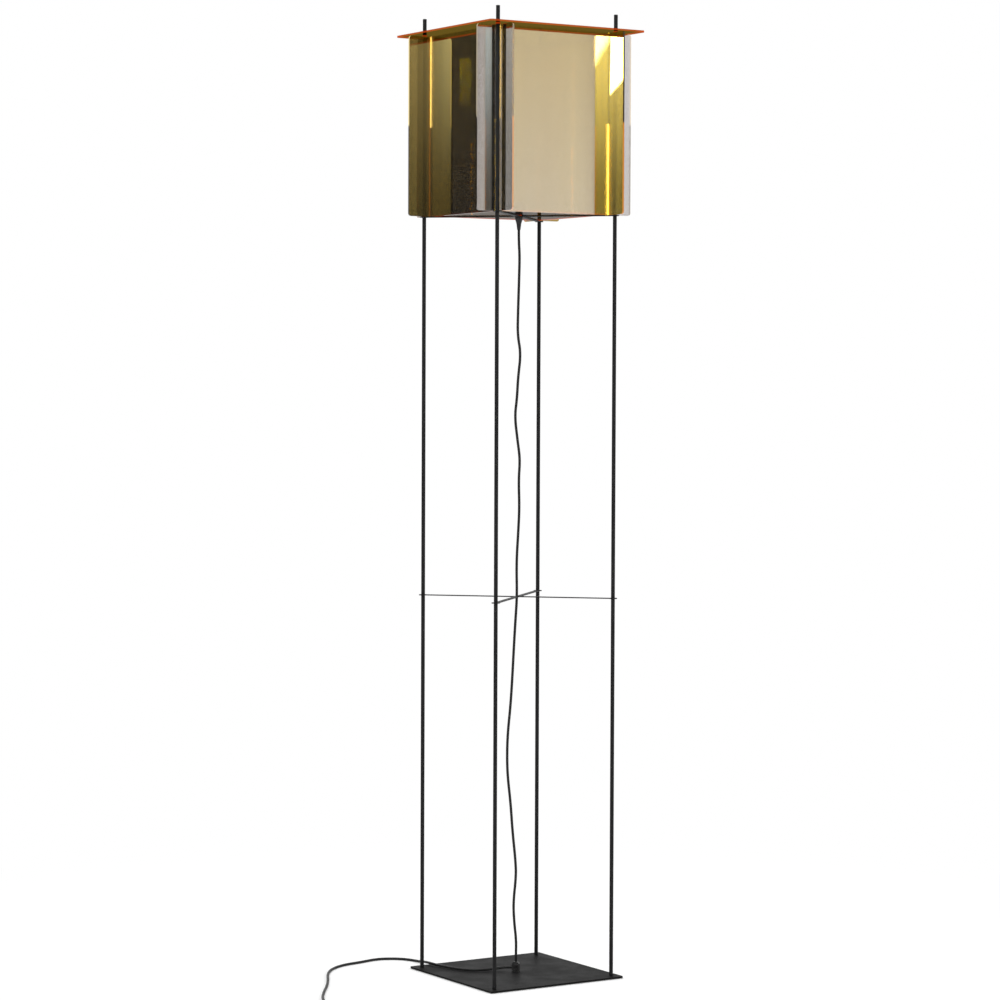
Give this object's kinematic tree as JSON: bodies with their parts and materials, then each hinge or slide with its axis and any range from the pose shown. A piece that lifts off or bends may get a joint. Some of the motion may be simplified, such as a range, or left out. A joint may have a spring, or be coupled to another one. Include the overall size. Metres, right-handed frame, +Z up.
{
  "type": "floor lamp",
  "caption": "Tall square floor lamp: a lantern of slotted amber acrylic sheets on thin rods with cross braces, a flat square base and a cord down the middle.",
  "frame": {"origin": "middle of the underside of the base, on the floor", "axes": "+Z up along the lamp's middle, +X to the lamp's right and -Y to its front, both square to the panels"},
  "size_m": [0.5672, 0.5594, 1.6],
  "materials": {
    "black_steel": "satin powder coat",
    "felt": "matt felt",
    "zinc_steel": "zinc plated",
    "amber_acrylic": "polished transparent sheet",
    "black_aluminium": "black anodised",
    "light_board": "white solder mask",
    "dome_plastic": "smoked and glossy",
    "black_plastic": "fine grain",
    "button_plastic": "fine grain",
    "cord_rubber": "smooth flexible sheath",
    "strap": "woven hook-and-loop strap",
    "plated_brass": "nickel plated"
  },
  "bodies": {
    "stand": {"base_plate": "black_steel", "lower_rod_front_left": "black_steel", "lower_rod_front_right": "black_steel", "lower_rod_back_left": "black_steel", "lower_rod_back_right": "black_steel", "middle_rod_front_left": "black_steel", "middle_rod_front_right": "black_steel", "middle_rod_back_left": "black_steel", "middle_rod_back_right": "black_steel", "upper_rod_front_left": "black_steel", "upper_rod_front_right": "black_steel", "upper_rod_back_left": "black_steel", "upper_rod_back_right": "black_steel", "middle_brace": "black_steel", "lantern_brace": "black_steel", "base_mat": "felt", "base_screws": "zinc_steel", "middle_studs": "zinc_steel", "upper_studs": "zinc_steel", "grip_nut": "zinc_steel", "switch_screws": "zinc_steel", "floor_plate": "amber_acrylic", "front_panel": "amber_acrylic", "back_panel": "amber_acrylic", "left_panel": "amber_acrylic", "right_panel": "amber_acrylic", "lamp_head_base": "black_aluminium", "cord_anchor": "black_aluminium", "anchor_clamp_screw": "black_aluminium", "light_board": "light_board", "lamp_dome": "dome_plastic", "cord_grip": "black_plastic", "foot_switch_base": "black_plastic", "foot_switch_cover": "black_plastic", "foot_switch_contact": "black_plastic", "plug_body": "black_plastic", "cord_drop": "cord_rubber", "cord_floor": "cord_rubber", "cord_lead": "cord_rubber", "cord_coil": "cord_rubber", "cord_tail": "cord_rubber", "coil_tie": "strap", "plug_pins": "plated_brass"},
    "top_plate": {"top_plate": "amber_acrylic"},
    "switch_button": {"foot_switch_button": "button_plastic"}
  },
  "joints": [
    {"name": "top_plate_lift", "type": "slide", "parent": "stand", "child": "top_plate", "axis": [0, 0, 1], "range_m": [0, 0.06]},
    {"name": "switch_press", "type": "slide", "parent": "stand", "child": "switch_button", "axis": [0, 0, -1], "range_m": [0, 0.003], "stiffness_N_per_m": 1500, "springref_m": -0.002}
  ]
}
